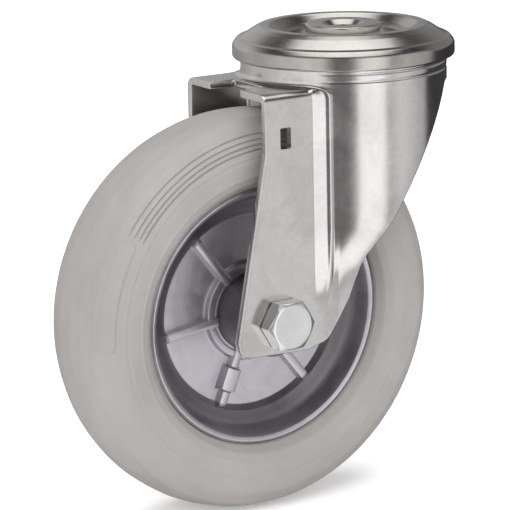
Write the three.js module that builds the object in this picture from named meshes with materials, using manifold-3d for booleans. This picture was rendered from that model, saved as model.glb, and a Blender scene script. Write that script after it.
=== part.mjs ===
// Bolt-hole swivel castor with a 160 mm wheel: a pressed-steel fork that turns on two rings of
// balls under a round head plate, and a solid rubber tyre on a die-cast rim with a roller bearing.
// Millimetres, +Z up. The origin is on the swivel axis, in the flat top face of the centre boss.
// +X is the direction of travel, so the wheel trails towards -X and its axle lies along Y.
import * as THREE from "three";
import { mergeVertices } from "three/addons/utils/BufferGeometryUtils.js";
import Module from "manifold-3d";

const wasm = await Module();
wasm.setup();

// Main dimensions
const TRAIL = 49; // swivel axis to axle
const AXLE_DROP = 109; // boss face to axle
const WHEEL_R = 80;
const TYRE_HALF = 21.6; // half the tyre's greatest width
const SHEET = 3; // pressed steel of the head plate and the fork
const BOLT_BORE_R = 6.5; // passes the M12 fastening bolt
const TOUCH = 0.1; // left between pieces that are clamped or bonded together
const RUN = 0.3; // left between pieces that turn against each other

// Head plate and kingpin
const BOSS_R = 15;
const BOSS_H = 4.6;
const BOLT_MOUTH = 1.85; // countersink at the mouth of the bolt hole
const FLOOR_R = 22.5; // sunk floor round the boss
const RIDGE = { r: 32.5, z: -0.3 }; // raised ring over the upper balls
const PLATE_EDGE = { r: 44.2, inner: 41.6, shoulder: -5.8, foot: -12.7 }; // turned down
const PIN_R = 11; // kingpin's shank
const PIN_FOOT_Z = -25;
const PIN_FLANGE = { r: 14.2, height: 2.1 }; // foot of the kingpin, spread under the lower race

// Swivel races
const BALL_R = 3.175;
const UPPER_RACE_R = 32.5;
const LOWER_RACE_R = 20;
const CROWN_R = 41;
const CROWN_TOP = -10;
const CROWN_EDGE_R = 3;
const BALL_PLAY = 0.2; // between a ball and each of its races
const CAGE_BAND = { halfWidth: 1.9, half: 0.6 }; // thin ring that carries the balls
const LOWER_CUP = { r: 27.4, top: -14.6, groove: 16.6, grooveEnd: 23.4 };

// Fork
const LEG_HALF = 29; // outer face of each leg
const SHOULDER_TOP = -19.5;
const FOLD_R = 4; // outer radius of the fold from shoulder to leg
const LEG_FRONT_X = -55.2;
const LEG_KINK_Z = -42; // below this the front edge leans towards the axle
const LEG_FOOT_Z = -121.3;
const SKIRT_HEM_Z = -22.5; // lower edge of the crown at the back
const TAB_GAP_HALF = 11;
const SADDLE_BACK_X = -27.2; // the legs end here and the round skirt takes over
const CROWN_BORE_R = 13;
const BEAD = { x: -30, y: 28.4, r: 3.8, foot: -103 }; // upright bead between leg and skirt
const SLOT = { x: -46.2, z: -36.7, width: 4.8, height: 8.2 };

// Axle and bearing
const AXLE_R = 5.9;
const HEX_AF = 18.5;
const HEAD_H = 7.5;
const NUT_H = 8;
const COLLAR_H = 4.2; // nut's round collar, which holds its nylon ring
const COLLAR = { inner: 7.2, outer: 9 };
const HEX_CHAMFER = 1.4;
const BOLT_TIP = 2.4; // thread that stands out of the nut
const WASHER_R = 13.6;
const SLEEVE_R = 7.5;
const HUB_BORE_R = 11;
const HUB_HALF = 24.4;
const WASHER_T = 0.8;
const ROLLER = { r: 1.6, pitch: 9.25, length: 42, count: 10 };

// Rim
const HUB_R = 15.4;
const WEB_HALF = 3.5;
const WEB_R = 38;
const LIP = { r: 50.2, half: 16 };
const SEAT_R = 51.6; // outside of the rim, under the tyre
const HUB_STEP = { r: 20.2, height: 5.6 }; // raised ring round the foot of the hub
const RIB = { count: 6, phase: 8, width: 4.4, height: 6.8 };

const ROUND = 44; // facets of large turned pieces
const FINE = 24; // facets of small turned pieces

// ---------------------------------------------------------------- geometry helpers

// A closed three.js geometry as a solid that can be cut and joined.
function solid(geometry, matrix = new THREE.Matrix4()) {
  const bare = (geometry.index ? geometry.toNonIndexed() : geometry.clone()).applyMatrix4(matrix);
  bare.deleteAttribute("normal");
  bare.deleteAttribute("uv");
  const merged = mergeVertices(bare, 1e-3);
  return new wasm.Manifold(
    new wasm.Mesh({
      numProp: 3,
      vertProperties: merged.attributes.position.array,
      triVerts: new Uint32Array(merged.index.array),
    }),
  );
}

// A cut or joined solid as a three.js geometry.
function geometryOf(manifold) {
  const mesh = manifold.getMesh();
  const geometry = new THREE.BufferGeometry();
  geometry.setAttribute("position", new THREE.BufferAttribute(mesh.vertProperties, 3));
  geometry.setIndex(new THREE.BufferAttribute(mesh.triVerts, 1));
  const flat = geometry.toNonIndexed();
  flat.computeVertexNormals();
  return flat;
}

// A closed [r, z] profile turned about Z.
function turned(profile, facets) {
  const points = profile.map(([r, z]) => new THREE.Vector2(r, z));
  if (THREE.ShapeUtils.isClockWise(points)) points.reverse();
  points.push(points[0].clone());
  return new THREE.LatheGeometry(points, facets).rotateX(Math.PI / 2);
}

// The lower half of a profile that is the same on both sides of its middle plane, z = 0.
function mirrored(half) {
  return [...half, ...half.map(([r, z]) => [r, -z]).reverse()];
}

// Points on an arc, in degrees.
function arc(cr, cz, radius, from, to, steps) {
  const points = [];
  for (let i = 0; i <= steps; i++) {
    const a = THREE.MathUtils.degToRad(from + ((to - from) * i) / steps);
    points.push([cr + radius * Math.cos(a), cz + radius * Math.sin(a)]);
  }
  return points;
}

function shapeOf(points) {
  return new THREE.Shape(points.map(([a, b]) => new THREE.Vector2(a, b)));
}

// An outline in X and Z, extruded from y0 to y1.
function slabAlongY(shape, y0, y1) {
  const geometry = new THREE.ExtrudeGeometry(shape, {
    depth: y1 - y0,
    bevelEnabled: false,
    curveSegments: 10,
  });
  return geometry.rotateX(Math.PI / 2).translate(0, y1, 0);
}

// An outline in Y and Z, extruded from x0 to x1.
function slabAlongX(shape, x0, x1) {
  const geometry = new THREE.ExtrudeGeometry(shape, { depth: x1 - x0, bevelEnabled: false });
  const toX = new THREE.Matrix4().makeBasis(
    new THREE.Vector3(0, 1, 0),
    new THREE.Vector3(0, 0, 1),
    new THREE.Vector3(1, 0, 0),
  );
  return geometry.applyMatrix4(toX).translate(x0, 0, 0);
}

function rod(radius, z0, z1, facets) {
  return turned([[0, z0], [radius, z0], [radius, z1], [0, z1]], facets);
}

function finish(color, roughness, metalness) {
  return new THREE.MeshStandardMaterial({ color, roughness, metalness });
}

const ZINC = finish(0xc4c2be, 0.35, 1);
const BRIGHT_ZINC = finish(0xdcdfdc, 0.3, 1);
const BALL_STEEL = finish(0x9a9c9e, 0.2, 1);
const CAST_ALUMINIUM = finish(0xb2acb6, 0.45, 1);
const GREY_RUBBER = finish(0xb9b4b0, 0.8, 0);
const NYLON = finish(0xe8e4d8, 0.6, 0);

function piece(name, geometry, material) {
  const mesh = new THREE.Mesh(geometry, material);
  mesh.name = name;
  return mesh;
}

// ---------------------------------------------------------------- head

// Round pressed plate: a sunk floor round the kingpin, a raised ring, and a turned-down edge that
// shrouds the crown below it.
function headPlate() {
  const floor = -BOSS_H - TOUCH;
  const { r, inner, shoulder, foot } = PLATE_EDGE;
  const top = [
    [PIN_R + TOUCH, floor],
    [FLOOR_R, floor],
    [FLOOR_R + 3.5, floor + 1],
    [RIDGE.r - 3.4, RIDGE.z - 0.8],
    [RIDGE.r - 1.6, RIDGE.z],
    [RIDGE.r + 0.6, RIDGE.z - 0.05],
    [RIDGE.r + 3.7, RIDGE.z - 1.4],
  ];
  const edge = [
    [r - 3, shoulder + 1.6],
    [r - 2.1, shoulder + 0.6],
    [r - 1.2, shoulder],
    [r - 0.3, shoulder - 1.6],
    [r, shoulder - 3.7],
    [r, foot + 1.3],
    [r - 0.6, foot + 0.3],
    [r - 1.6, foot],
    [inner + 0.1, foot + 0.4],
    [inner, foot + 3.3],
  ];
  const underside = [
    [inner - 1.7, shoulder - 1.6],
    [RIDGE.r + 3.1, RIDGE.z - SHEET - 1.6],
    [RIDGE.r + 1.8, RIDGE.z - SHEET - 0.6],
    [RIDGE.r, RIDGE.z - SHEET],
    [RIDGE.r - 2.4, RIDGE.z - SHEET - 0.5],
    [FLOOR_R + 2.1, floor - 1.6],
    [FLOOR_R - 0.1, floor - SHEET],
    [PIN_R + TOUCH, floor - SHEET],
  ];
  return piece("head_plate", turned([...top, ...edge, ...underside], ROUND), ZINC);
}

// Hollow kingpin: its collar is the boss that the castor bolts up against, and its lower end is
// spread under the lower race.
function kingpinBush() {
  const profile = [
    [BOLT_BORE_R + BOLT_MOUTH, 0],
    [BOSS_R - 0.6, 0],
    [BOSS_R, -0.6],
    [BOSS_R, -BOSS_H],
    [PIN_R, -BOSS_H],
    [PIN_R, PIN_FOOT_Z + PIN_FLANGE.height + 0.2],
    [PIN_FLANGE.r, PIN_FOOT_Z + PIN_FLANGE.height],
    [PIN_FLANGE.r, PIN_FOOT_Z + 0.8],
    [PIN_FLANGE.r - 1, PIN_FOOT_Z],
    [BOLT_BORE_R, PIN_FOOT_Z],
    [BOLT_BORE_R, -BOLT_MOUTH],
  ];
  return piece("kingpin_bush", turned(profile, FINE), ZINC);
}

// Dished race under the crown, held by the kingpin's foot.
function lowerRace() {
  const seat = CROWN_TOP - SHEET - 2 * (BALL_R + BALL_PLAY);
  const foot = PIN_FOOT_Z + PIN_FLANGE.height + 0.2 + TOUCH;
  const { r, top, groove, grooveEnd } = LOWER_CUP;
  const lip = seat + 2.6;
  const profile = [
    [PIN_R + TOUCH, top],
    [groove - 2.2, top],
    [groove, seat],
    [grooveEnd, seat],
    [grooveEnd + 1.8, lip],
    [r, lip],
    [r, foot + 1.2],
    [r - 1.2, foot],
    [PIN_R + TOUCH, foot],
  ];
  return piece("lower_race", turned(profile, FINE), ZINC);
}

// A full ring of balls in its thin cage, joined to one solid.
function ballRing(name, raceR, z, count) {
  const { halfWidth, half } = CAGE_BAND;
  const band = [
    [raceR - halfWidth, -half],
    [raceR + halfWidth, -half],
    [raceR + halfWidth, half],
    [raceR - halfWidth, half],
  ];
  let ring = solid(turned(band, FINE));
  for (let i = 0; i < count; i++) {
    const a = (2 * Math.PI * i) / count;
    const place = new THREE.Matrix4().makeTranslation(raceR * Math.cos(a), raceR * Math.sin(a), 0);
    ring = ring.add(solid(new THREE.SphereGeometry(BALL_R, 6, 4), place));
  }
  const mesh = piece(name, geometryOf(ring), BALL_STEEL);
  mesh.position.z = z;
  return mesh;
}

// ---------------------------------------------------------------- fork

// Side view of the whole fork: its lower edge runs from the skirt's hem down to the leg's foot.
function forkOutline() {
  const shape = new THREE.Shape();
  shape.moveTo(LEG_FRONT_X, 0);
  shape.lineTo(LEG_FRONT_X, LEG_KINK_Z);
  shape.lineTo(-68.9, -112.5);
  shape.quadraticCurveTo(-69.6, -119.5, -63.5, LEG_FOOT_Z + 0.5);
  shape.lineTo(-40, LEG_FOOT_Z);
  shape.quadraticCurveTo(-27.5, LEG_FOOT_Z, -22.5, -99.5);
  shape.lineTo(28.5, SKIRT_HEM_Z);
  shape.lineTo(CROWN_R + 4, SKIRT_HEM_Z);
  shape.lineTo(CROWN_R + 4, 0);
  return shape;
}

// The shoulder and both legs as one folded strip of sheet, seen from the front.
function saddle() {
  const inner = LEG_HALF - SHEET;
  const outerCorner = arc(LEG_HALF - FOLD_R, SHOULDER_TOP - FOLD_R, FOLD_R, 0, 90, 4);
  const innerR = FOLD_R - SHEET;
  const innerCorner = arc(inner - innerR, SHOULDER_TOP - SHEET - innerR, innerR, 90, 0, 2);
  const half = [[LEG_HALF, -130], ...outerCorner];
  const halfInside = [...innerCorner, [inner, -130]];
  const flip = (points) => points.map(([y, z]) => [-y, z]).reverse();
  const outline = [...half, ...flip(half), ...flip(halfInside), ...halfInside];
  return solid(slabAlongX(shapeOf(outline), -75, SADDLE_BACK_X));
}

// The drawn cup of the crown, whose wall runs down into the skirt behind the wheel.
function crownAndSkirt() {
  const cup = [
    [CROWN_BORE_R, CROWN_TOP],
    [CROWN_R - CROWN_EDGE_R, CROWN_TOP],
    ...arc(CROWN_R - CROWN_EDGE_R, CROWN_TOP - CROWN_EDGE_R, CROWN_EDGE_R, 65, 0, 3),
    [CROWN_R, -125],
    [CROWN_R - SHEET, -125],
    [CROWN_R - SHEET, CROWN_TOP - SHEET - 1.5],
    [CROWN_R - SHEET - 1.5, CROWN_TOP - SHEET],
    [CROWN_BORE_R, CROWN_TOP - SHEET],
  ];
  const front = new THREE.BoxGeometry(60, 120, 110).translate(-59.3, 0, -22.5 - 55);
  return solid(turned(cup, ROUND)).subtract(solid(front));
}

function fork() {
  const hollow = solid(rod(CROWN_R - SHEET, -130, CROWN_TOP - 6, ROUND));
  const notch = new THREE.BoxGeometry(30, 2 * TAB_GAP_HALF, 12).translate(-59.5, 0, SHOULDER_TOP);
  let body = saddle().subtract(hollow).subtract(solid(notch)).add(crownAndSkirt());
  for (const side of [-1, 1]) {
    const at = new THREE.Matrix4().makeTranslation(BEAD.x, side * BEAD.y, 0);
    body = body.add(solid(rod(BEAD.r, BEAD.foot, SHOULDER_TOP - FOLD_R, 16), at));
  }
  body = body.intersect(solid(slabAlongY(forkOutline(), -60, 60)));
  const across = new THREE.Matrix4().makeRotationX(Math.PI / 2);
  across.setPosition(-TRAIL, 0, -AXLE_DROP);
  body = body.subtract(solid(rod(AXLE_R + 0.4, -60, 60, 24), across));
  // The slot is pierced through the near leg only.
  const slot = new THREE.BoxGeometry(SLOT.width, 4 * SHEET, SLOT.height);
  slot.translate(SLOT.x, -LEG_HALF, SLOT.z);
  return piece("fork", geometryOf(body.subtract(solid(slot))), ZINC);
}

// ---------------------------------------------------------------- axle
// These pieces are made about Z and turned together, so that +Z points out of the near leg.

function hexagon(height) {
  const corner = HEX_AF / Math.sqrt(3);
  const prism = new THREE.CylinderGeometry(corner, corner, height, 6).rotateX(Math.PI / 2);
  return solid(prism.rotateZ(Math.PI / 6).translate(0, 0, height / 2));
}

// Rounds the corners of a hexagon's outer end.
function chamferTool(height) {
  const reach = HEX_AF / Math.sqrt(3) + 1;
  const profile = [
    [0, 0],
    [reach, 0],
    [reach, height - HEX_CHAMFER],
    [HEX_AF / 2 - 0.6, height],
    [0, height],
  ];
  return solid(turned(profile, FINE));
}

function axleBolt() {
  const start = LEG_HALF + TOUCH;
  const up = new THREE.Matrix4().makeTranslation(0, 0, start);
  const head = hexagon(HEAD_H).intersect(chamferTool(HEAD_H)).transform(up.elements);
  const tip = -(LEG_HALF + NUT_H + COLLAR_H + BOLT_TIP);
  const profile = [
    [0, tip],
    [AXLE_R - 1, tip],
    [AXLE_R, tip + 1],
    [AXLE_R, start + 1],
    [0, start + 1],
  ];
  const shank = turned(profile, FINE);
  return piece("axle_bolt", geometryOf(head.add(solid(shank))), BRIGHT_ZINC);
}

function axleNut() {
  const top = NUT_H + COLLAR_H;
  const collar = [
    [COLLAR.inner, NUT_H - 1],
    [COLLAR.outer, NUT_H - 1],
    [COLLAR.outer, top - 1],
    [COLLAR.outer - 1, top],
    [COLLAR.inner, top],
  ];
  const bore = rod(AXLE_R + 0.2, -1, NUT_H + 1, FINE);
  const body = hexagon(NUT_H).intersect(chamferTool(NUT_H)).subtract(solid(bore));
  const mesh = piece("axle_nut", geometryOf(body.add(solid(turned(collar, FINE)))), BRIGHT_ZINC);
  mesh.position.z = -(LEG_HALF + TOUCH);
  mesh.rotation.y = Math.PI;
  return mesh;
}

function nutInsert() {
  const low = NUT_H + 0.3;
  const high = NUT_H + COLLAR_H - 0.7;
  const inner = AXLE_R + 0.2;
  const outer = COLLAR.inner - 0.2;
  const profile = [[inner, low], [outer, low], [outer, high], [inner, high]];
  const mesh = piece("nut_insert", turned(profile, FINE), NYLON);
  mesh.position.z = -(LEG_HALF + TOUCH);
  mesh.rotation.y = Math.PI;
  return mesh;
}

// Steel tube that the bolt clamps between the legs; the rollers run on it.
function axleSleeve() {
  const half = LEG_HALF - SHEET - TOUCH;
  const profile = mirrored([[AXLE_R + 0.3, half], [SLEEVE_R - 0.3, half], [SLEEVE_R, half - 0.3]]);
  return piece("axle_sleeve", turned(profile, FINE), BALL_STEEL);
}

function hubWasher(name, side) {
  const inner = HUB_HALF + RUN;
  const profile = [
    [SLEEVE_R + RUN, inner],
    [WASHER_R, inner],
    [WASHER_R, inner + WASHER_T],
    [SLEEVE_R + RUN, inner + WASHER_T],
  ];
  return piece(name, turned(profile.map(([r, z]) => [r, side * z]), FINE), ZINC);
}

// ---------------------------------------------------------------- wheel

function rollerPlaces() {
  return Array.from({ length: ROLLER.count }, (_, i) => (2 * Math.PI * i) / ROLLER.count);
}

function rollerCage() {
  const half = HUB_HALF - 0.5;
  const inner = SLEEVE_R + 0.7;
  const outer = HUB_BORE_R - 0.7;
  const band = [[inner, -half], [outer, -half], [outer, half], [inner, half]];
  let cage = solid(turned(band, FINE));
  for (const a of rollerPlaces()) {
    const x = ROLLER.pitch * Math.cos(a);
    const y = ROLLER.pitch * Math.sin(a);
    const at = new THREE.Matrix4().makeTranslation(x, y, 0);
    const reach = ROLLER.length / 2 + RUN;
    cage = cage.subtract(solid(rod(ROLLER.r + RUN, -reach, reach, 12), at));
  }
  return piece("roller_cage", geometryOf(cage), NYLON);
}

function rollers() {
  return rollerPlaces().map((a, i) => {
    const half = ROLLER.length / 2;
    const name = "roller_" + String(i + 1).padStart(2, "0");
    const mesh = piece(name, rod(ROLLER.r, -half, half, 12), BALL_STEEL);
    mesh.position.set(ROLLER.pitch * Math.cos(a), ROLLER.pitch * Math.sin(a), 0);
    return mesh;
  });
}

// Die-cast rim: a long hub tube, a flat web in the middle, a dished barrel and radial ribs.
function rim() {
  const half = [
    [HUB_BORE_R, HUB_HALF],
    [HUB_R - 1.4, HUB_HALF],
    [HUB_R - 0.8, HUB_HALF - 0.6],
    [HUB_R, HUB_STEP.height],
    [HUB_STEP.r - 0.6, HUB_STEP.height],
    [HUB_STEP.r, WEB_HALF],
    [WEB_R, WEB_HALF],
    [42.6, WEB_HALF + 1.7],
    [46, WEB_HALF + 5.3],
    [48.4, WEB_HALF + 9.8],
    [LIP.r - 0.9, LIP.half],
    [LIP.r, LIP.half + 0.4],
    [SEAT_R - 0.2, LIP.half + 0.2],
    [SEAT_R, LIP.half - 0.4],
  ];
  let body = solid(turned(mirrored(half), ROUND));
  const ribSide = [
    [WEB_R + 4, WEB_HALF + 1.4],
    [WEB_R + 2, RIB.height],
    [HUB_BORE_R + 1, RIB.height],
  ];
  const ribShape = shapeOf(mirrored(ribSide));
  for (let i = 0; i < RIB.count; i++) {
    const rib = slabAlongY(ribShape, -RIB.width / 2, RIB.width / 2);
    const turn = new THREE.Matrix4().makeRotationZ(
      THREE.MathUtils.degToRad(RIB.phase + (360 * i) / RIB.count),
    );
    body = body.add(solid(rib, turn));
  }
  return piece("rim", geometryOf(body), CAST_ALUMINIUM);
}

// Solid rubber tyre, moulded round the rim.
function tyre() {
  const seat = SEAT_R + TOUCH;
  const half = [
    [seat, LIP.half - 1],
    [LIP.r + 1.9, LIP.half + 0.9],
    [54.5, 19.6],
    [57.5, 21.2],
    [61, TYRE_HALF],
    [66, 0.985 * TYRE_HALF],
    [71, 0.93 * TYRE_HALF],
    [74.8, 0.8 * TYRE_HALF],
    [77.4, 0.62 * TYRE_HALF],
    [WHEEL_R - 1, 0.4 * TYRE_HALF],
    [WHEEL_R - 0.25, 0.2 * TYRE_HALF],
    [WHEEL_R, 0],
  ];
  const below = half.slice(0, -1).map(([r, z]) => [r, -z]).reverse();
  return piece("tyre", turned([...half, ...below], ROUND), GREY_RUBBER);
}

// ---------------------------------------------------------------- assembly

function headGroup() {
  const group = new THREE.Group();
  const upperZ = CROWN_TOP + BALL_R + BALL_PLAY;
  const lowerZ = CROWN_TOP - SHEET - BALL_R - BALL_PLAY;
  group.add(
    headPlate(),
    kingpinBush(),
    lowerRace(),
    ballRing("upper_ball_ring", UPPER_RACE_R, upperZ, 18),
    ballRing("lower_ball_ring", LOWER_RACE_R, lowerZ, 12),
  );
  return group;
}

function wheelGroup() {
  const group = new THREE.Group();
  group.position.set(-TRAIL, 0, -AXLE_DROP);
  group.rotation.x = Math.PI / 2;
  group.add(
    axleBolt(),
    axleNut(),
    nutInsert(),
    axleSleeve(),
    hubWasher("near_hub_washer", 1),
    hubWasher("far_hub_washer", -1),
    rim(),
    tyre(),
    rollerCage(),
    ...rollers(),
  );
  return group;
}

const castor = new THREE.Group();
castor.add(headGroup(), fork(), wheelGroup());

export default castor;
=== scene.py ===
"""Looks of the bolt-hole swivel castor: a zinc-plated fork under a round ball-bearing head, and a
light grey rubber tyre on a ribbed cast rim. Shapes are written in millimetres and scaled to metres."""

import math

import bmesh
import bpy
import numpy as np
from mathutils import Matrix, Vector


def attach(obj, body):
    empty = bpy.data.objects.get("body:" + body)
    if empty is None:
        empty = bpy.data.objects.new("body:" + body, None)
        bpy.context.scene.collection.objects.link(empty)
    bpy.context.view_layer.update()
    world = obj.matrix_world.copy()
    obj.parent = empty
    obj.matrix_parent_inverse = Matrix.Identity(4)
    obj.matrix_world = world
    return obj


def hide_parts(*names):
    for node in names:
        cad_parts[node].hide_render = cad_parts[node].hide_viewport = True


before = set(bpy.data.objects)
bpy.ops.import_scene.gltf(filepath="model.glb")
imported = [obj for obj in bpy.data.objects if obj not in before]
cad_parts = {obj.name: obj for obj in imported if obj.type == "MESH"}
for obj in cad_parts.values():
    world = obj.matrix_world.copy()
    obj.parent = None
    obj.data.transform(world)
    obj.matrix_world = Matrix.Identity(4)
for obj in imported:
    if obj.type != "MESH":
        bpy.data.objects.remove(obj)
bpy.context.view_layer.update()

MM = 0.001
AXLE = np.array([-49.0, 0.0, -109.0])
FLOOR_Z = -189.0
EDGE = 0.45  # rounding of every cut sheet edge

# ---------------------------------------------------------------- small geometry helpers


def smooth(a, b, x):
    """0 before a, 1 after b, and an S-curve between; a may be above b."""
    t = np.clip((np.asarray(x, float) - a) / (b - a), 0, 1)
    return t * t * (3 - 2 * t)


def mix(a, b, t):
    return a + (b - a) * t


def rounded(corners, steps=6, closed=False):
    """Corners are rows of coordinates and a last number, the radius that the corner is rounded to."""
    corners = [np.array(c, float) for c in corners]
    count = len(corners)
    out = []
    for k, corner in enumerate(corners):
        here, radius = corner[:-1], corner[-1]
        if radius <= 0 or (not closed and k in (0, count - 1)):
            out.append(here)
            continue
        u = corners[k - 1][:-1] - here
        v = corners[(k + 1) % count][:-1] - here
        lu, lv = np.linalg.norm(u), np.linalg.norm(v)
        u, v = u / lu, v / lv
        half = 0.5 * math.acos(float(np.clip(u @ v, -1, 1)))
        reach = min(radius / math.tan(half), 0.48 * lu, 0.48 * lv)
        start, end = here + u * reach, here + v * reach
        for t in np.linspace(0, 1, steps + 1):
            a, b, c = (1 - t) ** 2, 2 * math.sin(half) * t * (1 - t), t * t
            out.append((a * start + b * here + c * end) / (a + b + c))
    return np.array(out)


def along(line, count):
    """count points spread evenly along an open line."""
    gaps = np.linalg.norm(np.diff(line, axis=0), axis=1)
    run = np.concatenate([[0], np.cumsum(gaps)])
    at = np.linspace(0, run[-1], count)
    return np.stack([np.interp(at, run, line[:, k]) for k in range(line.shape[1])], axis=1)


def dense(line, step):
    """The same line with no gap wider than step."""
    out = [line[0]]
    for a, b in zip(line[:-1], line[1:]):
        n = max(1, int(math.ceil(np.linalg.norm(b - a) / step)))
        out += [mix(a, b, (i + 1) / n) for i in range(n)]
    return np.array(out)


def spread(count):
    """count fractions strictly between 0 and 1, closer together towards both ends."""
    t = np.arange(1, count + 1) / (count + 1)
    return (1 - np.cos(np.pi * t)) / 2


def make(name, points, faces, material, angle=32):
    """A closed mesh in millimetres as an object with smooth shading and crisp corners."""
    mesh = bpy.data.meshes.new(name)
    mesh.from_pydata([tuple(p) for p in np.asarray(points, float) * MM], [], [tuple(f) for f in faces])
    bm = bmesh.new()
    bm.from_mesh(mesh)
    bmesh.ops.remove_doubles(bm, verts=bm.verts, dist=1e-7)
    bmesh.ops.dissolve_degenerate(bm, edges=bm.edges, dist=1e-8)
    bmesh.ops.recalc_face_normals(bm, faces=bm.faces)
    bm.to_mesh(mesh)
    bm.free()
    mesh.shade_smooth()
    mesh.set_sharp_from_angle(angle=math.radians(angle))
    mesh.materials.append(material)
    obj = bpy.data.objects.new(name, mesh)
    bpy.context.scene.collection.objects.link(obj)
    return obj


def turn_faces(rows, columns):
    """Quads of a closed profile of rows points turned through columns steps."""
    faces = []
    for j in range(columns):
        k = (j + 1) % columns
        for i in range(rows):
            n = (i + 1) % rows
            faces.append((j * rows + i, k * rows + i, k * rows + n, j * rows + n))
    return faces


def turned(profile, columns):
    """A closed (r, h) profile turned about the axis of h, as points and faces."""
    angles = np.linspace(0, 2 * np.pi, columns, endpoint=False)
    points = [(r * math.cos(a), r * math.sin(a), h) for a in angles for r, h in profile]
    return np.array(points), turn_faces(len(profile), columns)


def on_axle(points):
    """Points made about Z, laid on the axle so that +Z points out of the near leg."""
    x, y, z = np.asarray(points, float).T
    return np.stack([x + AXLE[0], -z, y + AXLE[2]], axis=1)


def joined(*parts):
    """Several (points, faces) as one."""
    points, faces, start = [], [], 0
    for p, f in parts:
        points.append(np.asarray(p, float))
        faces += [tuple(i + start for i in face) for face in f]
        start += len(p)
    return np.concatenate(points), faces


def cut(obj, tool_points, tool_faces):
    """Cuts a closed tool out of obj."""
    tool = make("cutter", tool_points, tool_faces, obj.data.materials[0])
    step = obj.modifiers.new("cut", "BOOLEAN")
    step.operation = "DIFFERENCE"
    step.solver = "EXACT"
    step.object = tool
    graph = bpy.context.evaluated_depsgraph_get()
    mesh = bpy.data.meshes.new_from_object(obj.evaluated_get(graph))
    obj.modifiers.clear()
    obj.data = mesh
    mesh.shade_smooth()
    mesh.set_sharp_from_angle(angle=math.radians(32))
    bpy.data.objects.remove(tool)
    return obj


# ---------------------------------------------------------------- materials


class Paint:
    """A node material that is built up step by step."""

    def __init__(self, name, color, roughness, metallic=0.0, specular=0.5):
        self.material = bpy.data.materials.new(name)
        self.material.use_nodes = True
        self.tree = self.material.node_tree
        self.shader = self.tree.nodes["Principled BSDF"]
        self.shader.inputs["Base Color"].default_value = (*color, 1)
        self.shader.inputs["Roughness"].default_value = roughness
        self.shader.inputs["Metallic"].default_value = metallic
        self.shader.inputs["Specular IOR Level"].default_value = specular
        self.coords = self.tree.nodes.new("ShaderNodeTexCoord").outputs["Object"]
        self.normal = None

    def node(self, kind, **values):
        node = self.tree.nodes.new(kind)
        for key, value in values.items():
            setattr(node, key, value)
        return node

    def link(self, a, b):
        self.tree.links.new(a, b)

    def stretch(self, scale):
        mapping = self.node("ShaderNodeMapping")
        mapping.inputs["Scale"].default_value = scale
        self.link(self.coords, mapping.inputs["Vector"])
        return mapping.outputs["Vector"]

    def noise(self, scale, detail=3, roughness=0.5, distortion=0.0, vector=None):
        node = self.node("ShaderNodeTexNoise")
        node.inputs["Scale"].default_value = scale
        node.inputs["Detail"].default_value = detail
        node.inputs["Roughness"].default_value = roughness
        node.inputs["Distortion"].default_value = distortion
        self.link(vector or self.coords, node.inputs["Vector"])
        return node.outputs["Fac"]

    def ramp(self, value, stops):
        node = self.node("ShaderNodeValToRGB")
        elements = node.color_ramp.elements
        while len(elements) < len(stops):
            elements.new(0.5)
        for element, (at, color) in zip(elements, stops):
            element.position = at
            element.color = (*color, 1) if hasattr(color, "__len__") else (color, color, color, 1)
        self.link(value, node.inputs["Fac"])
        return node.outputs["Color"]

    def math(self, kind, a, b):
        node = self.node("ShaderNodeMath", operation=kind)
        for socket, value in zip(node.inputs, (a, b)):
            if isinstance(value, (int, float)):
                socket.default_value = value
            else:
                self.link(value, socket)
        return node.outputs[0]

    def blend(self, a, b, factor, kind="MIX"):
        node = self.node("ShaderNodeMix", data_type="RGBA", blend_type=kind)
        for key, value in (("A", a), ("B", b)):
            socket = [s for s in node.inputs if s.name == key and s.type == "RGBA"][0]
            if hasattr(value, "is_linked"):
                self.link(value, socket)
            else:
                socket.default_value = (*value, 1)
        if isinstance(factor, (int, float)):
            node.inputs["Factor"].default_value = factor
        else:
            self.link(factor, node.inputs["Factor"])
        return [s for s in node.outputs if s.type == "RGBA"][0]

    def color(self, value):
        self.link(value, self.shader.inputs["Base Color"])

    def rough(self, value):
        self.link(value, self.shader.inputs["Roughness"])

    def bump(self, value, depth_mm, strength=1.0):
        node = self.node("ShaderNodeBump")
        node.inputs["Distance"].default_value = depth_mm * MM
        node.inputs["Strength"].default_value = strength
        self.link(value, node.inputs["Height"])
        if self.normal is not None:
            self.link(self.normal, node.inputs["Normal"])
        self.normal = node.outputs["Normal"]
        self.link(self.normal, self.shader.inputs["Normal"])


def zinc(name, dark, light, low, high, grain=0.02):
    """Bright zinc plating on pressed steel: cloudy patches, faint drawing marks and a fine grain."""
    paint = Paint(name, light, low, metallic=1.0)
    clouds = paint.noise(38, detail=4, roughness=0.6, distortion=0.6)
    specks = paint.noise(420, detail=3, roughness=0.7)
    draw = paint.noise(90, detail=4, roughness=0.65, vector=paint.stretch((3.2, 3.2, 0.35)))
    tone = paint.ramp(clouds, [(0.34, dark), (0.55, light), (0.75, tuple(0.97 * c for c in light))])
    tone = paint.blend(tone, paint.ramp(specks, [(0.4, 0.85), (0.6, 1.0)]), 0.3, "MULTIPLY")
    paint.color(tone)
    worn = paint.math("ADD", paint.math("MULTIPLY", clouds, 0.6), paint.math("MULTIPLY", specks, 0.4))
    paint.rough(paint.ramp(worn, [(0.35, low), (0.65, high)]))
    paint.bump(draw, 0.03, 0.3)
    paint.bump(specks, grain, 0.3)
    return paint.material


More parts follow.
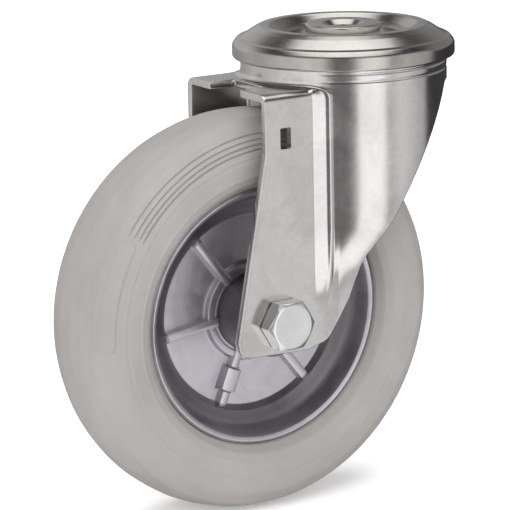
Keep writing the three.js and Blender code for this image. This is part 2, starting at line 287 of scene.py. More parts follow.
def rubber():
    paint = Paint("grey_rubber", (0.29, 0.277, 0.267), 0.62, specular=0.3)
    mottle = paint.noise(22, detail=5, roughness=0.6, distortion=0.4)
    grain = paint.noise(900, detail=2)
    streaks = paint.noise(60, detail=4, roughness=0.7, vector=paint.stretch((1.0, 3.0, 1.0)))
    greys = [(0.3, (0.27, 0.257, 0.247)), (0.55, (0.295, 0.281, 0.271)), (0.75, (0.31, 0.297, 0.288))]
    tone = paint.ramp(mottle, greys)
    tone = paint.blend(tone, paint.ramp(streaks, [(0.35, 0.86), (0.6, 1.0)]), 0.35, "MULTIPLY")
    paint.color(tone)
    paint.rough(paint.ramp(mottle, [(0.3, 0.5), (0.7, 0.68)]))
    paint.bump(streaks, 0.12, 0.3)
    paint.bump(grain, 0.05, 0.35)
    return paint.material


# Painted shade: the colour is darkened on the hub tube and in the dished barrel.
# The stops are tone over radius, where 1 is BARREL_SCALE in metres.
BARREL_SCALE = 0.06
BARREL_PAINTED_SHADE = [
    (0.0, 0.3),
    (0.262, 0.34),
    (0.272, 1.0),
    (0.640, 1.0),
    (0.648, 0.5),
    (0.72, 0.4),
    (0.80, 0.6),
    (0.822, 1.0),
]


def cast():
    paint = Paint("cast_aluminium", (0.52, 0.49, 0.55), 0.4, metallic=1.0)
    skin = paint.noise(70, detail=5, roughness=0.65, distortion=0.8)
    grain = paint.noise(700, detail=3, roughness=0.6)
    greys = [(0.3, (0.60, 0.575, 0.62)), (0.55, (0.72, 0.695, 0.74)), (0.75, (0.76, 0.735, 0.77))]
    tone = paint.ramp(skin, greys)
    split = paint.node("ShaderNodeSeparateXYZ")
    paint.link(paint.coords, split.inputs[0])
    across = paint.math("ADD", split.outputs["X"], -AXLE[0] * MM)
    upward = paint.math("ADD", split.outputs["Z"], -AXLE[2] * MM)
    square = paint.math("ADD", paint.math("POWER", across, 2), paint.math("POWER", upward, 2))
    radius = paint.math("SQRT", square, 0)
    # painted shade: darker on the hub tube and in the dished barrel, by radius from the axle
    ring = paint.ramp(paint.math("MULTIPLY", radius, 1 / BARREL_SCALE), BARREL_PAINTED_SHADE)
    paint.color(paint.blend(tone, ring, 1.0, "MULTIPLY"))
    paint.rough(paint.ramp(skin, [(0.3, 0.34), (0.7, 0.5)]))
    paint.bump(skin, 0.25, 0.25)
    paint.bump(grain, 0.05, 0.4)
    return paint.material


def steel():
    paint = Paint("ball_steel", (0.5, 0.5, 0.51), 0.16, metallic=1.0)
    wear = paint.noise(300, detail=3)
    paint.color(paint.ramp(wear, [(0.3, (0.42, 0.42, 0.43)), (0.7, (0.58, 0.58, 0.59))]))
    paint.rough(paint.ramp(wear, [(0.3, 0.12), (0.7, 0.24)]))
    return paint.material


def nylon():
    paint = Paint("nylon", (0.74, 0.71, 0.62), 0.5)
    cloud = paint.noise(160, detail=3)
    paint.color(paint.ramp(cloud, [(0.3, (0.68, 0.65, 0.56)), (0.7, (0.78, 0.75, 0.67))]))
    paint.rough(paint.ramp(cloud, [(0.3, 0.42), (0.7, 0.58)]))
    paint.bump(cloud, 0.05, 0.3)
    return paint.material


ZINC_PLATE = zinc("zinc_plate", (0.47, 0.45, 0.425), (0.56, 0.54, 0.512), 0.17, 0.25, grain=0.006)
ZINC_FORK = zinc("zinc_fork", (0.65, 0.63, 0.62), (0.76, 0.738, 0.728), 0.15, 0.23, grain=0.03)
BRIGHT_ZINC = zinc("bright_zinc", (0.86, 0.87, 0.86), (0.95, 0.96, 0.95), 0.3, 0.42)
RUBBER = rubber()
CAST = cast()
STEEL = steel()
NYLON = nylon()


def settle(obj, body, node):
    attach(obj, body)
    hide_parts(node)
    return obj


# ---------------------------------------------------------------- head

BALL_R = 3.17
UPPER_RACE = {"r": 32.5, "z": -6.625, "balls": 18}
LOWER_RACE = {"r": 20.0, "z": -16.375, "balls": 12}


def head_plate():
    """Pressed plate: sunk floor, raised ring, a flat outside it, and a turned-down edge."""
    profile = rounded(
        [
            (11.1, -4.7, 0.3),
            (22.9, -4.7, 2.2),
            (26.6, -3.6, 1.6),
            (29.2, -0.3, 1.5),
            (33.2, -0.3, 1.6),
            (36.0, -1.7, 2.0),
            (40.6, -4.7, 0.9),
            (42.4, -5.2, 0.8),
            (44.2, -7.4, 3.0),
            (44.2, -12.7, 2.1),
            (41.7, -12.7, 0.6),
            (41.6, -9.0, 1.0),
            (39.9, -7.4, 1.0),
            (35.6, -4.9, 0.8),
            (34.4, -3.9, 0.8),
            (33.1, -3.1, 0.6),
            (30.4, -3.1, 1.4),
            (27.6, -6.4, 1.6),
            (22.4, -7.7, 1.6),
            (11.1, -7.7, 0.3),
        ],
        steps=8,
        closed=True,
    )
    return make("head_plate_shell", *turned(profile, 224), ZINC_PLATE)


def kingpin():
    """Hollow kingpin: a collar on top, and a foot rolled out under the lower race."""
    profile = rounded(
        [
            (8.35, 0.0, 0.25),
            (15.0, 0.0, 0.7),
            (15.0, -4.6, 0.2),
            (11.0, -4.6, 0.2),
            (11.0, -22.7, 0.4),
            (14.2, -22.9, 0.5),
            (14.2, -24.4, 0.8),
            (13.2, -25.0, 0.5),
            (6.5, -25.0, 0.4),
            (6.5, -1.85, 0.4),
        ],
        steps=5,
        closed=True,
    )
    return make("kingpin_collar", *turned(profile, 128), ZINC_PLATE)


def lower_race():
    """Dished ring under the crown that the lower balls run on."""
    profile = rounded(
        [
            (11.1, -14.6, 0.3),
            (14.4, -14.6, 0.4),
            (16.6, -19.75, 1.2),
            (23.4, -19.75, 1.4),
            (25.2, -17.15, 0.4),
            (27.4, -17.15, 0.4),
            (27.4, -21.4, 0.5),
            (26.2, -22.6, 0.5),
            (11.1, -22.6, 0.3),
        ],
        steps=5,
        closed=True,
    )
    return make("lower_race_ring", *turned(profile, 128), ZINC_PLATE)


def ball(radius, at, rings=14, sides=22):
    points = [(0, 0, radius)]
    for i in range(1, rings):
        t = math.pi * i / rings
        level, out = radius * math.cos(t), radius * math.sin(t)
        for j in range(sides):
            a = 2 * math.pi * j / sides
            points.append((out * math.cos(a), out * math.sin(a), level))
    points.append((0, 0, -radius))
    faces = [(0, 1 + j, 1 + (j + 1) % sides) for j in range(sides)]
    for i in range(rings - 2):
        for j in range(sides):
            a, b = 1 + i * sides + j, 1 + i * sides + (j + 1) % sides
            faces.append((a, a + sides, b + sides, b))
    last = 1 + (rings - 2) * sides
    faces += [(last + (j + 1) % sides, last + j, len(points) - 1) for j in range(sides)]
    return np.array(points) + np.array(at), faces


def ball_ring(name, race):
    """Balls in a thin pressed cage whose band swells round each ball."""
    race_r, z, count = race["r"], race["z"], race["balls"]
    columns = count * 10
    points = []
    for j in range(columns):
        a = 2 * math.pi * j / columns
        swell = 0.5 + 0.5 * math.cos(count * a)
        half, thick = 1.2 + 0.7 * swell, 0.45 + 0.15 * swell
        for r, h in ((-half, -thick), (half, -thick), (half, thick), (-half, thick)):
            points.append(((race_r + r) * math.cos(a), (race_r + r) * math.sin(a), h))
    band = (np.array(points), turn_faces(4, columns))
    balls = []
    for i in range(count):
        a = 2 * math.pi * i / count
        balls.append(ball(BALL_R, (race_r * math.cos(a), race_r * math.sin(a), 0)))
    points, faces = joined(band, *balls)
    return make(name, points + np.array([0, 0, z]), faces, STEEL)


# ---------------------------------------------------------------- fork
# Each half is one grid of columns that follow the section from the leg's front edge round to the
# back, and of rows that climb the wall, fold over the shoulder and run up and over the crown.

SHEET = 3.0
LEG = 29.0
PLATE_Z = -19.5
CROWN_TOP = -10.0
CROWN_EDGE_R = 3.0
CROWN_R = 41.0
KINGPIN_HOLE_R = 13.0
FORMING_LINES = [(-14.2, 0.45), (-17.2, 0.40)]  # height and depth of each groove round the crown
SLOT = {"x": -46.2, "z": -36.7, "half_width": 2.4, "half_height": 4.1}
AXLE_HOLE_R = 6.3
NOTCH = 11.0
VALLEY_ANGLE = -125.0
FRONT_X = -55.2
TAB_END_X = -44.5
FAN_END_X = -38.0
FRONT_LINE = rounded([(0, FRONT_X, 0), (-42, FRONT_X, 14), (-112.5, -68.9, 0), (-130, -72.3, 0)])
HEM_LINE = rounded(
    [
        (-68.95, -108, 0),
        (-69.4, -120.6, 7.0),
        (-37.5, -121.9, 8),
        (-28.6, -119.2, 6),
        (-18.6, -103.8, 12),
        (-15.2, -88, 24),
        (27.8, -22.5, 3),
        (60, -22.5, 0),
    ]
)
OUTER_BEAD = [
    (FAN_END_X, LEG, 0),
    (-33.8, LEG, 1.6),
    (-28.9, 30.9, 0.9),
    (-27.6, 31.9, 1.2),
    (-26.2, 31.5, 1.4),
]
INNER_BEAD = [(FAN_END_X, LEG - SHEET, 0), (-28.5, LEG - SHEET, 3.0)]
WALL_TOP = -27.0
FOLD_LOW = -23.5
FILLET_HIGH = -18.2
# Heights of the wall's top, the fold's two ends and the fillet's two ends. Where the wall is short,
# they are shares of the way from its lower edge up to the last of them.
LEVELS = [(WALL_TOP, 0.62), (FOLD_LOW, 0.72), (-21.6, 0.80), (-20.4, 0.88), (FILLET_HIGH, 1.0)]
FAN_TABS, FAN_REST, BEAD_COLUMNS, BACK_COLUMNS = 15, 9, 46, 50
WALL_ROWS, FOLD, PLATE_A, PLATE_B, FILLET, CROWN_ROWS, SHOULDER, LID = 54, 9, 10, 8, 8, 22, 6, 7


def front_x(z):
    return np.interp(-z, -FRONT_LINE[:, 0], FRONT_LINE[:, 1]) + EDGE


def hem_z(x):
    start = int(np.argmin(HEM_LINE[:, 0]))
    line = HEM_LINE[start:]
    return np.interp(x, line[:, 0], line[:, 1]) + EDGE


def wall(kind, value, z, depth):
    """A point of the wall, as x and |y|: column (kind, value), height z, depth inside the outer face."""
    if kind == "fan":
        x = mix(front_x(z), FAN_END_X, value)
        return np.array([x, LEG - depth])
    radius = CROWN_R - depth
    if kind == "bead":
        shape = INNER_SECTION if depth else OUTER_SECTION
        bead = np.array([np.interp(value, SECTION_T, shape[:, k]) for k in (0, 1)])
        end_x = radius * math.cos(math.radians(VALLEY_ANGLE))
        flat = np.array([mix(FAN_END_X, end_x, value), LEG - depth + 0.8 * value**2])
        fade = mix(1 - smooth(-90, -106, z), 1 - smooth(-70, -108, z), smooth(0.45, 1, value))
        return mix(flat, bead, fade)
    a = math.radians(value)
    x, y = radius * math.cos(a), -radius * math.sin(a)
    return np.array([x, mix(y, min(y, LEG - depth + 0.8), smooth(-70, -108, z))])


def section(bead, radius):
    a = math.radians(VALLEY_ANGLE)
    lead = math.radians(VALLEY_ANGLE - 4)
    end = (radius * math.cos(a), -radius * math.sin(a))
    mid = (radius * math.cos(lead), -radius * math.sin(lead))
    line = rounded(bead + [(*mid, 1.5), (*end, 0)], steps=10)
    return along(dense(line, 0.2), 200)


SECTION_T = np.linspace(0, 1, 200)
OUTER_SECTION = section(OUTER_BEAD, CROWN_R)
INNER_SECTION = section(INNER_BEAD, CROWN_R - SHEET)


def fork_columns():
    """(kind, value, crown angle or None) for each column of the near half."""
    start = FRONT_X + EDGE
    split = (TAB_END_X - start) / (FAN_END_X - start)
    columns = [("fan", u, None) for u in np.linspace(0, split, FAN_TABS, endpoint=False)]
    rest = [("fan", u) for u in np.linspace(split, 1, FAN_REST, endpoint=False)]
    rest += [("bead", v) for v in np.linspace(0, 1, BEAD_COLUMNS, endpoint=False)]
    at = np.array([wall(kind, value, WALL_TOP, 0.0) for kind, value in rest])
    end = wall("back", VALLEY_ANGLE, WALL_TOP, 0.0)
    run = np.concatenate([[0], np.cumsum(np.linalg.norm(np.diff(np.vstack([at, end]), axis=0), axis=1))])
    for (kind, value), s in zip(rest, run):
        columns.append((kind, value, mix(-180.0, VALLEY_ANGLE, s / run[-1])))
    for a in np.linspace(VALLEY_ANGLE, 0, BACK_COLUMNS):
        columns.append(("back", a, a))
    return columns


def fork_column(kind, value, angle, depth):
    """All points of one column, from the lower edge up to the kingpin's hole."""
    low = -100.0
    for _ in range(30):
        low = hem_z(wall(kind, value, low, depth)[0])
    early = smooth(-62, -38, low)
    top_of_wall, fold_low, fold_high, fillet_low, fillet_high = (
        mix(level, mix(low, FILLET_HIGH, share), early) for level, share in LEVELS
    )
    if kind != "back":
        top_of_wall, fold_low = WALL_TOP, FOLD_LOW
    points = [(*wall(kind, value, z, depth), z) for z in np.linspace(low, top_of_wall, WALL_ROWS)]
    x, y = wall(kind, value, top_of_wall, depth)
    here = np.array([x, y])
    plate = PLATE_Z - depth
    if angle is None:
        ledge, aim = 1.0, np.array([x, NOTCH + EDGE])
    else:
        c, s = math.cos(math.radians(angle)), -math.sin(math.radians(angle))
        gap = np.linalg.norm(wall(kind, value, WALL_TOP, 0.0) - CROWN_R * np.array([c, s]))
        ledge = float(smooth(0, 7.5, gap)) if kind != "back" else 0.0
        reach = (2.5 + depth) * ledge
        aim = (CROWN_R - depth + reach) * np.array([c, s])
    way = aim - here
    length = max(np.linalg.norm(way), 1e-6)
    way = way / length
    turn = min((4.0 - depth) * ledge, 0.45 * length)
    fold_top = mix(fold_high, plate, ledge)
    for a in np.linspace(0, np.pi / 2, FOLD):
        spot = here + way * turn * (1 - math.cos(a))
        points.append((*spot, mix(fold_low, fold_top, math.sin(a))))
    start, height = here + way * turn, fold_top
    if angle is None:
        points += [(*mix(start, aim, t), height) for t in [*spread(PLATE_A - 1), 1.0]]
        return points
    foot = mix(fillet_low, plate, ledge)
    middle = mix(start, aim, 0.56)
    mid_z = mix(height, foot, 0.56)
    points += [(*mix(start, middle, t), mix(height, mid_z, t)) for t in [*spread(PLATE_A - 1), 1.0]]
    points += [(*mix(middle, aim, t), mix(mid_z, foot, t)) for t in spread(PLATE_B)]
    head = mix(fillet_high, PLATE_Z + 2.5, ledge)
    for a in np.linspace(0, np.pi / 2, FILLET):
        r = CROWN_R - depth + reach * (1 - math.sin(a))
        points.append((r * c, r * s, mix(foot, head, 1 - math.cos(a))))
    round_r = max(CROWN_EDGE_R - depth, 0.5)
    top = CROWN_TOP - depth
    for t in spread(CROWN_ROWS):
        z = mix(head, top - round_r, t)
        marks = sum(deep * math.exp(-(((z - line) / 0.45) ** 2)) for line, deep in FORMING_LINES)
        r = CROWN_R - depth - (marks * (1 - ledge) if depth == 0 else 0)
        points.append((r * c, r * s, z))
    for a in np.linspace(0, np.pi / 2, SHOULDER):
        r = CROWN_R - depth - round_r * (1 - math.cos(a))
        points.append((r * c, r * s, top - round_r * (1 - math.sin(a))))
    for t in [*spread(LID), 1.0]:
        r = mix(CROWN_R - depth - round_r, KINGPIN_HOLE_R + EDGE, t)
        points.append((r * c, r * s, top))
    return points


def fork():
    """The fork from its two skins, joined along every free edge, with axle hole and slot cut out."""
    columns = fork_columns()
    skins = []
    for depth in (0.0, SHEET):
        skins.append([fork_column(kind, value, angle, depth) for kind, value, angle in columns])
    # Numbers of each column's points, the same in both skins.
    index, total = [], 0
    for column in skins[0]:
        index.append(np.arange(total, total + len(column)))
        total += len(column)
    faces = []
    for a, b in zip(index[:-1], index[1:]):
        for i in range(min(len(a), len(b)) - 1):
            faces.append((a[i], b[i], b[i + 1], a[i + 1]))
    whole = []
    for skin in skins:
        near = np.array([(x, -y, z) for column in skin for x, y, z in column])
        whole.append(np.vstack([near, near * np.array([1, -1, 1])]))
    # Points in the middle plane, which the two halves share.
    seam = {int(i) for i in index[-1]}
    first = FAN_TABS
    seam |= {int(i) for i in index[first][WALL_ROWS + FOLD + PLATE_A + PLATE_B:]}
    for points in whole:
        for i in seam:
            points[i, 1] = 0
            points[i + total, 1] = 0
    twin = {i + total: i for i in seam}
    faces += [tuple(twin.get(int(i) + total, int(i) + total) for i in reversed(face)) for face in faces]
    faces = [tuple(int(i) for i in face) for face in faces]
    outer, inner = whole
    count = len(outer)
    # An edge that only one face uses is a free edge of the sheet.
    once = {}
    for face in faces:
        for k in range(4):
            edge = (face[k], face[(k + 1) % 4])
            if edge[::-1] in once:
                del once[edge[::-1]]
            else:
                once[edge] = face
    # Which way is outwards, along the sheet, at each point of a free edge.
    push = {}
    for (a, b), face in once.items():
        p = [outer[i] for i in face]
        normal = np.cross(p[2] - p[0], p[3] - p[1])
        out = np.cross(outer[b] - outer[a], normal)
        size = np.linalg.norm(out)
        if size > 1e-9:
            for i in (a, b):
                push[i] = push.get(i, 0) + out / size
    # From the outer skin over to the inner one at each of these points, with both corners rounded.
    ring = {}
    extra = []
    for i, out in push.items():
        out = out / max(np.linalg.norm(out), 1e-9)
        through = inner[i] - outer[i]
        through = through / max(np.linalg.norm(through), 1e-9)
        ring[i] = [i]
        for a in (30, 60, 90):
            t = math.radians(a)
            extra.append(outer[i] + EDGE * (out * math.sin(t) + through * (1 - math.cos(t))))
            ring[i].append(2 * count + len(extra) - 1)
        for a in (90, 60, 30):
            t = math.radians(a)
            extra.append(inner[i] + EDGE * (out * math.sin(t) - through * (1 - math.cos(t))))
            ring[i].append(2 * count + len(extra) - 1)
        ring[i].append(i + count)
    walls = []
    for a, b in once:
        for k in range(7):
            walls.append((ring[b][k], ring[a][k], ring[a][k + 1], ring[b][k + 1]))
    back = [tuple(i + count for i in reversed(face)) for face in faces]
    points = np.vstack([outer, inner, np.array(extra)])
    used = sorted({i for face in faces + back + walls for i in face})
    place = {old: new for new, old in enumerate(used)}
    all_faces = [tuple(place[i] for i in face) for face in faces + back + walls]
    obj = make("fork_pressing", points[used], all_faces, ZINC_FORK)
    hole, hole_faces = turned([(0.0, -60), (AXLE_HOLE_R, -60), (AXLE_HOLE_R, 60), (0.0, 60)], 64)
    cut(obj, on_axle(hole), hole_faces)
    w, h = SLOT["half_width"], SLOT["half_height"]
    window = rounded([(-w, -h, 0.5), (w, -h, 0.5), (w, h, 0.5), (-w, h, 0.5)], 4, closed=True)
    prism = [(x + SLOT["x"], y, z + SLOT["z"]) for y in (-60, -10) for x, z in window]
    n = len(window)
    sides = [(i, (i + 1) % n, n + (i + 1) % n, n + i) for i in range(n)]
    cut(obj, prism, sides + [tuple(range(n)), tuple(range(2 * n - 1, n - 1, -1))])
    return obj


# ---------------------------------------------------------------- axle

HEX_FLAT = 18.5
THREAD_DEPTH = 0.62
SEAT = 29.1  # where the bolt head and the nut sit on the legs


def hex_part(height, turn, bore=0.0, lip=0.35):
    """Hexagon with its outer corners turned off, a washer face under it and, for a nut, a bore."""
    columns = 120
    circle = HEX_FLAT / 2
    points = []
    for j in range(columns):
        a = 2 * math.pi * j / columns
        off = (math.degrees(a) + 30 - turn) % 60 - 30
        side = circle / math.cos(math.radians(off))
        rise = height - 0.577 * max(0.0, side - 0.89 * circle)
        sink = 0.30 * max(0.0, side - 0.97 * circle) + lip
        rows = [
            (bore, 0.0),
            (0.93 * circle, 0.0),
            (0.93 * circle, lip),
            (0.965 * circle, lip),
            (side - 0.12, sink - 0.02),
            (side, sink + 0.15),
            (side, rise - 0.15),
            (side - 0.13, rise + 0.05),
            (mix(0.9 * circle, side, 0.5), mix(height, rise, 0.5)),
            (0.9 * circle, height - 0.04),
            (0.87 * circle, height),
            (0.70 * circle, height),
            (bore, height),
        ]
        points += [(r * math.cos(a), r * math.sin(a), h) for r, h in rows]
    return np.array(points), turn_faces(len(rows), columns)


def thread(radius, start, end, pitch=1.25):
    """Profile points of a threaded length, as ridges."""
    line = []
    n = int(abs(end - start) / pitch)
    step = (end - start) / n
    for k in range(n):
        for depth, share in ((0.0, 0.1), (THREAD_DEPTH, 0.5), (0.0, 0.9)):
            line.append((radius - depth, start + step * (k + share)))
    return line


def axle_bolt():
    head, head_faces = hex_part(7.5, turn=30)
    head[:, 2] += SEAT
    start, tip = 29.2, -43.6
    profile = [(0.0, start), (5.9, start), (5.9, -20.0)] + thread(5.9, -20.0, tip + 1.3)
    profile += [(5.3, tip + 0.5), (4.7, tip), (0.0, tip)]
    points, faces = joined((head, head_faces), turned(profile, 64))
    return make("axle_bolt_m12", on_axle(points), faces, BRIGHT_ZINC, 25)


def flipped(points):
    """The same piece pointing out of the far leg."""
    return np.asarray(points) * np.array([1, -1, -1])


def axle_nut():
    body, body_faces = hex_part(8.0, turn=4, bore=6.15)
    collar = rounded(
        [(7.2, 7.0, 0), (9.0, 7.0, 0.2), (9.0, 11.0, 1.1), (8.3, 12.2, 0.5), (7.2, 12.2, 0.4)],
        5,
        closed=True,
    )
    ring, ring_faces = turned(collar, 96)
    points, faces = joined((body, body_faces), (ring, ring_faces))
    points[:, 2] += SEAT
    return make("axle_nut_m12", on_axle(flipped(points)), faces, BRIGHT_ZINC, 25)


def nut_insert():
    corners = [(6.1, 8.3, 0.2), (7.05, 8.3, 0.2), (7.05, 11.6, 0.2), (6.1, 11.6, 0.6)]
    points, faces = turned(rounded(corners, 4, closed=True), 72)
    points[:, 2] += SEAT
    return make("nut_nylon_ring", on_axle(flipped(points)), faces, NYLON)


def washer(name, side):
    corners = [(7.8, 24.7, 0.15), (13.6, 24.7, 0.2), (13.6, 25.5, 0.2), (7.8, 25.5, 0.15)]
    points, faces = turned(rounded(corners, 3, closed=True), 96)
    return make(name, on_axle(points if side > 0 else flipped(points)), faces, ZINC_PLATE)


# ---------------------------------------------------------------- wheel

# The rim has a column of points at each of RIB_OFFSETS to both sides of every rib's centre line.
RIB_ANGLES = [8, 68, 128, 188, 248, 308]
RIB_OFFSETS = [0.0, 0.7, 1.1, 1.4, 1.65, 1.9, 2.15, 2.4, 2.7, 3.1, 3.6, 4.2, 4.7, 5.2, 5.8]
RIB_TOP = 6.9
RIB_HALF = 1.75
RIB_END = 39.8  # from this radius outwards the rib falls away into the barrel
PAD = {"rib": 248, "starts": (23.6, 24.2), "ends": (33.0, 33.6), "half": 3.1, "rise": 0.9}


def soft_max(a, b, width):
    h = np.clip(0.5 + 0.5 * (b - a) / width, 0, 1)
    return mix(a, b, h) + width * h * (1 - h)


def rib_height(r, offset, angle):
    """A rib's height above the wheel's middle plane, at distance offset from its centre line."""
    top = RIB_TOP - 1.8 * max(0.0, r - RIB_END)
    half = RIB_HALF
    if angle == PAD["rib"]:
        pad = smooth(*PAD["starts"], r) * (1 - smooth(*PAD["ends"], r))
        half = mix(half, PAD["half"], pad)
        top += PAD["rise"] * pad
    crown = 0.5 * (1 - np.clip(offset / half, 0, 1) ** 2)
    drop = np.maximum(0, offset - half)
    return top - 0.5 + crown - 5.0 * drop


def rim_profile():
    """Near half of the rim, from the hub's bore out to the seat under the tyre."""
    return rounded(
        [
            (11.0, 10.0, 0),
            (11.0, 24.4, 0.6),
            (14.6, 24.4, 0.7),
            (15.4, 12.0, 0),
            (15.6, 5.0, 0.8),
            (17.0, 5.0, 0.3),
            (17.2, 5.7, 0.4),
            (19.6, 5.7, 0.5),
            (20.4, 3.5, 0.6),
            (38.5, 3.5, 0.4),
            (40.6, 5.9, 1.6),
            (46.4, 9.6, 5.0),
            (48.9, 15.9, 0.7),
            (50.4, 16.7, 0.6),
            (51.6, 15.6, 0.5),
            (51.6, 0.0, 0),
        ],
        steps=7,
    )


def rim():
    base = dense(rim_profile(), 0.9)
    half_sector = math.radians(30)
    points = []
    gaps = np.linspace(0, 1, 9)[1:-1]
    for sign in (1, -1):
        sheet = []
        for angle in RIB_ANGLES:
            lanes = [(-1, d) for d in RIB_OFFSETS[:0:-1]]
            lanes += [(1, d) for d in RIB_OFFSETS]
            lanes += [(0, g) for g in gaps]
            for lane, value in lanes:
                column = []
                for r, h in base:
                    squeeze = min(1 / r, 0.45 / RIB_OFFSETS[-1])
                    wide = math.asin(RIB_OFFSETS[-1] * squeeze)
                    if lane:
                        turn = lane * math.asin(value * squeeze)
                        offset = value
                    else:
                        turn = mix(wide, 2 * half_sector - wide, value)
                        offset = RIB_OFFSETS[-1] + 10
                    height = h
                    if 15.3 < r < 49:
                        height = float(soft_max(h, rib_height(r, offset, angle), 0.5))
                    a = math.radians(angle) + turn
                    column.append((r * math.cos(a), r * math.sin(a), sign * height))
                sheet.append(column)
        points.append(sheet)
    near, far = points
    columns = len(near)
    rows = len(base)
    flat = []
    for a, b in zip(near, far):
        flat += a + b[::-1][1:]
    return make("rim_casting", on_axle(flat), turn_faces(2 * rows - 1, columns), CAST, 40)


def tyre_line():
    """Near half of the plain tyre's outline, from the rim seat to the middle of the tread."""
    return rounded(
        [
            (51.7, 15.2, 0),
            (52.1, 17.0, 0.6),
            (54.6, 19.9, 3),
            (58.0, 21.4, 4),
            (63.0, 21.7, 6),
            (71.0, 20.4, 7),
            (76.2, 16.6, 5),
            (78.6, 10.5, 6),
            (79.9, 4.5, 8),
            (80.0, 0.0, 0),
        ],
        steps=10,
    )


RELIEF_FROM, RELIEF_TO = 56, 77
GROOVES = (67.6, 69.5, 71.4, 73.3)  # radii
PANEL = {"r": 72.2, "half": 2.7, "from": 147.0, "to": 182.0}


def sidewall_relief(r, angle):
    """Height added to the sidewall: fine grooves over the top quarter and a blank raised panel."""
    sweep = smooth(40, 44, angle) * (1 - smooth(145.2, 146.2, angle))
    cut_in = sum(math.exp(-(((r - g) / 0.3) ** 2)) for g in GROOVES)
    relief = -0.7 * cut_in * sweep
    middle = 0.5 * (PANEL["from"] + PANEL["to"])
    reach = math.radians(0.5 * (PANEL["to"] - PANEL["from"])) * PANEL["r"]
    s = math.radians(angle - middle) * PANEL["r"]
    end = max(0.0, abs(s) - (reach - PANEL["half"]))
    distance = math.hypot(end, r - PANEL["r"]) - PANEL["half"]
    relief += 0.5 * (1 - smooth(-0.3, 0.12, distance))
    relief -= 0.28 * smooth(57.6, 58.6, r) * (1 - smooth(64.4, 65.2, r))
    return float(relief)


def tyre():
    fine = dense(tyre_line(), 0.9)
    near = []
    for a, b in zip(fine[:-1], fine[1:]):
        near.append(a)
        if RELIEF_FROM + 0.5 < a[0] < RELIEF_TO - 0.5:
            near += [mix(a, b, t) for t in (0.2, 0.4, 0.6, 0.8)]
    near.append(fine[-1])
    near = np.array(near)
    profile = np.vstack([near, (near * np.array([1, -1]))[::-1][1:]])
    panel = np.linspace(PANEL["from"] - 1.2, PANEL["to"] + 1.2, 110)
    rest = np.linspace(PANEL["to"] + 1.2, PANEL["from"] - 1.2 + 360, 250)[1:-1]
    angles = np.concatenate([panel, rest])
    points = []
    for degrees in angles:
        a = math.radians(degrees)
        for r, h in profile:
            side = 1 if h >= 0 else -1
            lift = sidewall_relief(r, degrees % 360) if RELIEF_FROM < r < RELIEF_TO else 0.0
            points.append((r * math.cos(a), r * math.sin(a), h + side * lift))
    return make("tyre_moulding", on_axle(points), turn_faces(len(profile), len(angles)), RUBBER, 40)


# ---------------------------------------------------------------- pieces on their bodies

settle(head_plate(), "head", "head_plate")
settle(kingpin(), "head", "kingpin_bush")
settle(lower_race(), "head", "lower_race")
settle(ball_ring("upper_balls_in_cage", UPPER_RACE), "upper_balls", "upper_ball_ring")
settle(ball_ring("lower_balls_in_cage", LOWER_RACE), "lower_balls", "lower_ball_ring")
settle(fork(), "fork", "fork")
settle(axle_bolt(), "fork", "axle_bolt")
settle(axle_nut(), "fork", "axle_nut")
settle(nut_insert(), "fork", "nut_insert")
settle(washer("near_washer", 1), "fork", "near_hub_washer")
settle(washer("far_washer", -1), "fork", "far_hub_washer")
settle(rim(), "wheel", "rim")
settle(tyre(), "wheel", "tyre")

inside = {f"roller_{k:02d}": STEEL for k in range(1, 11)}
inside.update(axle_sleeve=STEEL, roller_cage=NYLON)
for name, material in inside.items():
    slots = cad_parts[name].data.materials
    slots.clear()
    slots.append(material)

# ---------------------------------------------------------------- floor, light and camera


def stage_floor():
    """Pale floor, faintly lit of itself and clear from beneath; polished surfaces don't mirror it."""
    paint = Paint("floor", (0.9, 0.9, 0.9), 0.8, specular=0.1)
    shade = paint.noise(3, detail=2)
    paint.color(paint.ramp(shade, [(0.3, 0.90), (0.7, 0.93)]))
    paint.shader.inputs["Emission Color"].default_value = (1, 1, 1, 1)
    paint.shader.inputs["Emission Strength"].default_value = 0.22
    clear = paint.node("ShaderNodeBsdfTransparent")
    below = paint.node("ShaderNodeMixShader")
    paint.link(paint.node("ShaderNodeNewGeometry").outputs["Backfacing"], below.inputs[0])
    paint.link(paint.shader.outputs[0], below.inputs[1])
    paint.link(clear.outputs[0], below.inputs[2])
    paint.link(below.outputs[0], paint.tree.nodes["Material Output"].inputs["Surface"])
    mesh = bpy.data.meshes.new("floor")
    half = 6.0
    z = FLOOR_Z * MM
    corners = [(-half, -half, z), (half, -half, z), (half, half, z), (-half, half, z)]
    mesh.from_pydata(corners, [], [(0, 1, 2, 3)])
    mesh.materials.append(paint.material)
    floor = bpy.data.objects.new("floor", mesh)
    bpy.context.scene.collection.objects.link(floor)
    floor.visible_glossy = False
    floor.visible_shadow = False


def soft_light(name, at, size, power, aim=(-0.03, 0, -0.1)):
    """Soft light for matt surfaces only; polished ones mirror the studio round the object instead."""
    data = bpy.data.lights.new(name, "AREA")
    data.shape = "SQUARE"
    data.size = size
    data.energy = power
    light = bpy.data.objects.new(name, data)
    bpy.context.scene.collection.objects.link(light)
    light.location = at
    light.rotation_euler = (Vector(aim) - Vector(at)).to_track_quat("-Z", "Y").to_euler()
    light.visible_camera = False
    light.visible_glossy = False


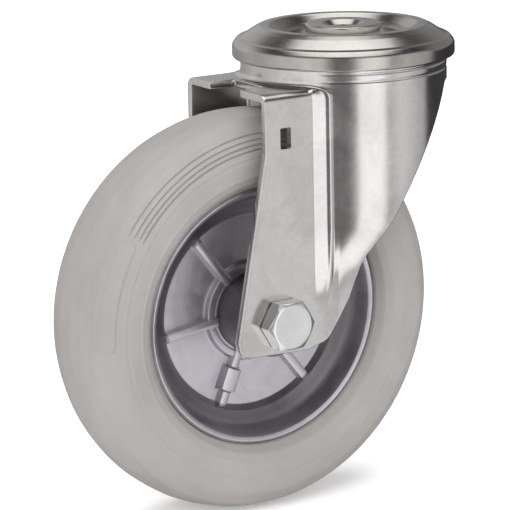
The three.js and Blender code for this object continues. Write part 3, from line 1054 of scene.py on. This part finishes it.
def studio():
    """A studio of pale and dark cards round the object, seen in the polished surfaces."""
    world = bpy.data.worlds.new("studio")
    bpy.context.scene.world = world
    world.use_nodes = True
    tree = world.node_tree
    nodes, links = tree.nodes, tree.links
    nodes.clear()

    def math_node(kind, a, b):
        node = nodes.new("ShaderNodeMath")
        node.operation = kind
        for socket, value in zip(node.inputs, (a, b)):
            if isinstance(value, (int, float)):
                socket.default_value = value
            else:
                links.new(value, socket)
        return node.outputs[0]

    def ramp(value, stops):
        node = nodes.new("ShaderNodeValToRGB")
        node.color_ramp.interpolation = "EASE"
        elements = node.color_ramp.elements
        while len(elements) < len(stops):
            elements.new(0.5)
        for element, (at, level) in zip(elements, stops):
            element.position = at
            element.color = (level, level, level, 1)
        links.new(value, node.inputs["Fac"])
        return node.outputs["Color"]

    def combined(kind, a, b):
        node = nodes.new("ShaderNodeMix")
        node.data_type = "RGBA"
        node.blend_type = kind
        node.inputs["Factor"].default_value = 1.0
        color_in = [socket for socket in node.inputs if socket.type == "RGBA"]
        links.new(a, color_in[0])
        links.new(b, color_in[1])
        return [socket for socket in node.outputs if socket.type == "RGBA"][0]

    direction = nodes.new("ShaderNodeTexCoord").outputs["Generated"]
    split = nodes.new("ShaderNodeSeparateXYZ")
    links.new(direction, split.inputs[0])
    x, y, z = split.outputs
    azimuth = math_node("ARCTAN2", y, x)
    share = math_node("ADD", math_node("DIVIDE", azimuth, 2 * math.pi), 0.5)
    # Brightness of the upright cards by azimuth in degrees; the lid and the wall behind come after.
    cards = [
        (-180, 0.85),
        (-146, 1.00),
        (-139, 0.45),
        (-134, 0.16),
        (-118, 0.18),
        (-111, 0.40),
        (-106, 1.25),
        (-80, 1.25),
        (-73, 0.55),
        (-58, 0.74),
        (-24, 0.50),
        (-17, 0.05),
        (48, 0.06),
        (72, 0.34),
        (135, 0.60),
        (179, 0.85),
    ]
    around = ramp(share, [((a + 180) / 360, level) for a, level in cards])
    height = math_node("ADD", math_node("MULTIPLY", z, 0.5), 0.5)
    lid = ramp(height, [(0.0, 0.0), (0.89, 0.0), (0.95, 1.5), (1.0, 1.7)])
    keep = ramp(height, [(0.0, 1.0), (0.70, 1.0), (0.86, 0.12), (1.0, 0.0)])
    behind = [(-180, 0.0), (-24, 0.0), (-8, 0.24), (110, 0.22), (130, 0.0), (179, 0.0)]
    wall_card = ramp(share, [((a + 180) / 360, level) for a, level in behind])
    above = ramp(height, [(0.0, 0.0), (0.51, 0.0), (0.55, 1.0), (0.72, 0.9), (0.86, 0.35), (1.0, 0.2)])
    front = combined("MULTIPLY", around, keep)
    back_wall = combined("MULTIPLY", wall_card, above)
    shine = combined("ADD", combined("ADD", front, back_wall), lid)
    cards_light = nodes.new("ShaderNodeBackground")
    links.new(shine, cards_light.inputs["Color"])
    cards_light.inputs["Strength"].default_value = 1.0
    backdrop = nodes.new("ShaderNodeBackground")
    backdrop.inputs["Color"].default_value = (1, 1, 1, 1)
    choose = nodes.new("ShaderNodeMixShader")
    links.new(nodes.new("ShaderNodeLightPath").outputs["Is Camera Ray"], choose.inputs[0])
    links.new(cards_light.outputs[0], choose.inputs[1])
    links.new(backdrop.outputs[0], choose.inputs[2])
    out = nodes.new("ShaderNodeOutputWorld")
    links.new(choose.outputs[0], out.inputs["Surface"])


def camera():
    """A long lens on the near side, ahead of the wheel and higher than the head."""
    data = bpy.data.cameras.new("camera")
    data.lens = 176.5
    data.sensor_width = 36.0
    data.clip_start = 0.05
    data.clip_end = 50
    cam = bpy.data.objects.new("camera", data)
    bpy.context.scene.collection.objects.link(cam)
    right = Vector((0.84854, -0.52872, -0.02105))
    up = Vector((0.14391, 0.19232, 0.97072))
    back = Vector((-0.50919, -0.82672, 0.23928))
    turn = Matrix((right, up, back)).transposed()
    cam.matrix_world = Matrix.Translation((-0.54693, -0.81789, 0.14817)) @ turn.to_4x4()
    bpy.context.scene.camera = cam


stage_floor()
studio()
soft_light("key", (-1.6, -1.4, 1.4), 1.6, 42)
soft_light("fill", (1.2, -1.8, 0.6), 1.8, 16)
soft_light("top", (0.2, 0.6, 2.2), 2.0, 26)
camera()
bpy.context.scene.view_settings.view_transform = "Standard"
